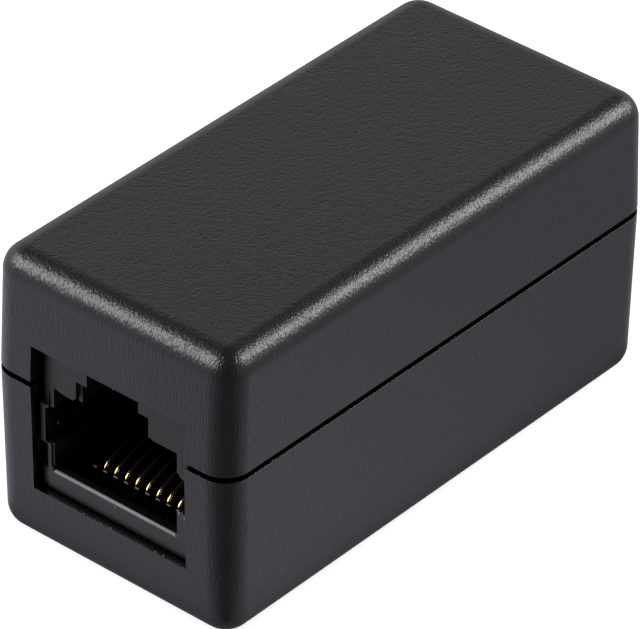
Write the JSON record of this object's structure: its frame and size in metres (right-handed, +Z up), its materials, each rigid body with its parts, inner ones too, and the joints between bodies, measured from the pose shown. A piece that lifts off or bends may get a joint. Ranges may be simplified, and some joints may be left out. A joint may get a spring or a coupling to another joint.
{
  "type": "rj45 inline coupler",
  "caption": "Small split plastic case with a modular network socket in each end, joining leads in line.",
  "frame": {"origin": "middle of the flat base that the coupler rests on", "axes": "+Z up, +Y along the length; the front socket faces -Y and the rear socket faces +Y; latches are upwards"},
  "size_m": [0.0228, 0.0474, 0.0244],
  "materials": {
    "case": "black moulded plastic with a fine spark-eroded grain",
    "housing": "black moulded plastic, smooth",
    "carrier": "black moulded plastic, smooth",
    "contacts": "gold-plated spring wire",
    "board": "glass-epoxy board with green solder mask",
    "solder": "bright tin solder"
  },
  "bodies": {
    "root": {"upper_shell": "case", "lower_shell": "case", "circuit_board": "board", "solder_joints": "solder", "front_jack_housing": "housing", "front_contact_carrier": "carrier", "front_contact_1": "contacts", "front_contact_2": "contacts", "front_contact_3": "contacts", "front_contact_4": "contacts", "front_contact_5": "contacts", "front_contact_6": "contacts", "front_contact_7": "contacts", "front_contact_8": "contacts", "rear_jack_housing": "housing", "rear_contact_carrier": "carrier", "rear_contact_1": "contacts", "rear_contact_2": "contacts", "rear_contact_3": "contacts", "rear_contact_4": "contacts", "rear_contact_5": "contacts", "rear_contact_6": "contacts", "rear_contact_7": "contacts", "rear_contact_8": "contacts"}
  },
  "joints": []
}
